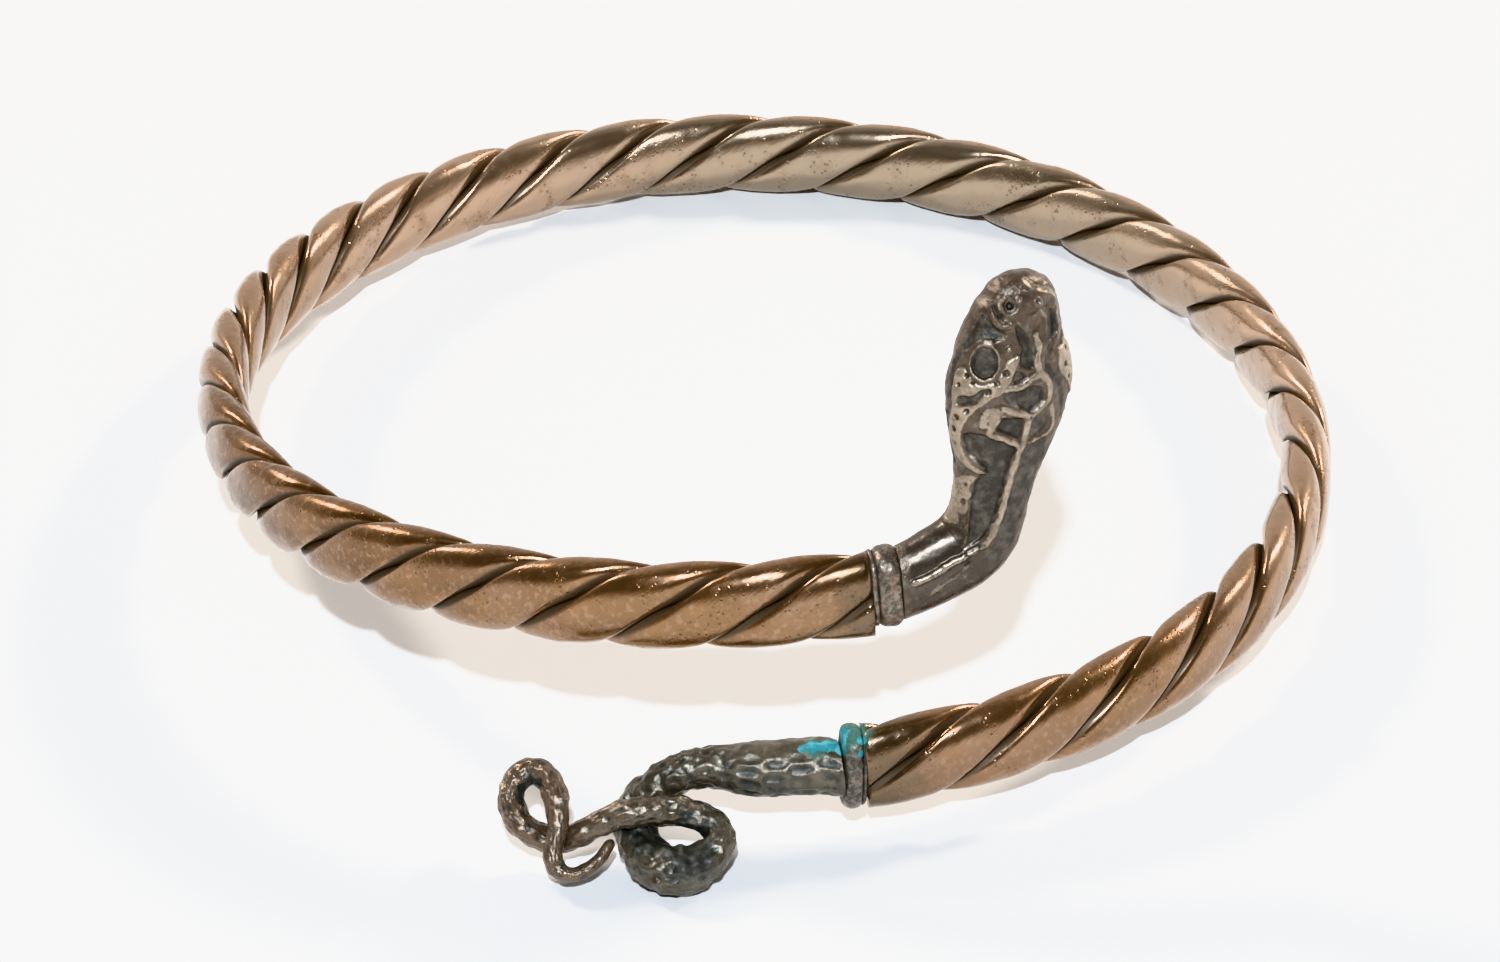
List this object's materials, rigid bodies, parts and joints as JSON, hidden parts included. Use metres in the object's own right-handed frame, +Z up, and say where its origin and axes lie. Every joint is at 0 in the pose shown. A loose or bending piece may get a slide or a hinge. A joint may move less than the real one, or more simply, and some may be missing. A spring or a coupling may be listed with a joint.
{
  "type": "snake bracelet",
  "caption": "Open bangle of twisted, flattened copper strands that ends in an upright cast snake's head and a curled, scaly tail, each soldered on behind a collar.",
  "frame": {"origin": "on the wrist's axis, at the height of the surface that the bracelet lies on", "axes": "+Z up along the wrist, away from the surface; -Y towards the two ends of the band; +X towards the head's side"},
  "size_m": [0.0682, 0.0763, 0.0329],
  "materials": {
    "strands": "worn, satin copper browned by age",
    "collars": "tarnished, with verdigris on the tail's collar",
    "head": "dark cast metal worn bright on its ridges",
    "tail": "dark, rough cast metal with copper wear and verdigris"
  },
  "bodies": {
    "root": {"strand_a": "strands", "strand_b": "strands", "strand_c": "strands", "head_collar": "collars", "tail_collar": "collars", "head": "head", "tail": "tail"}
  },
  "joints": []
}
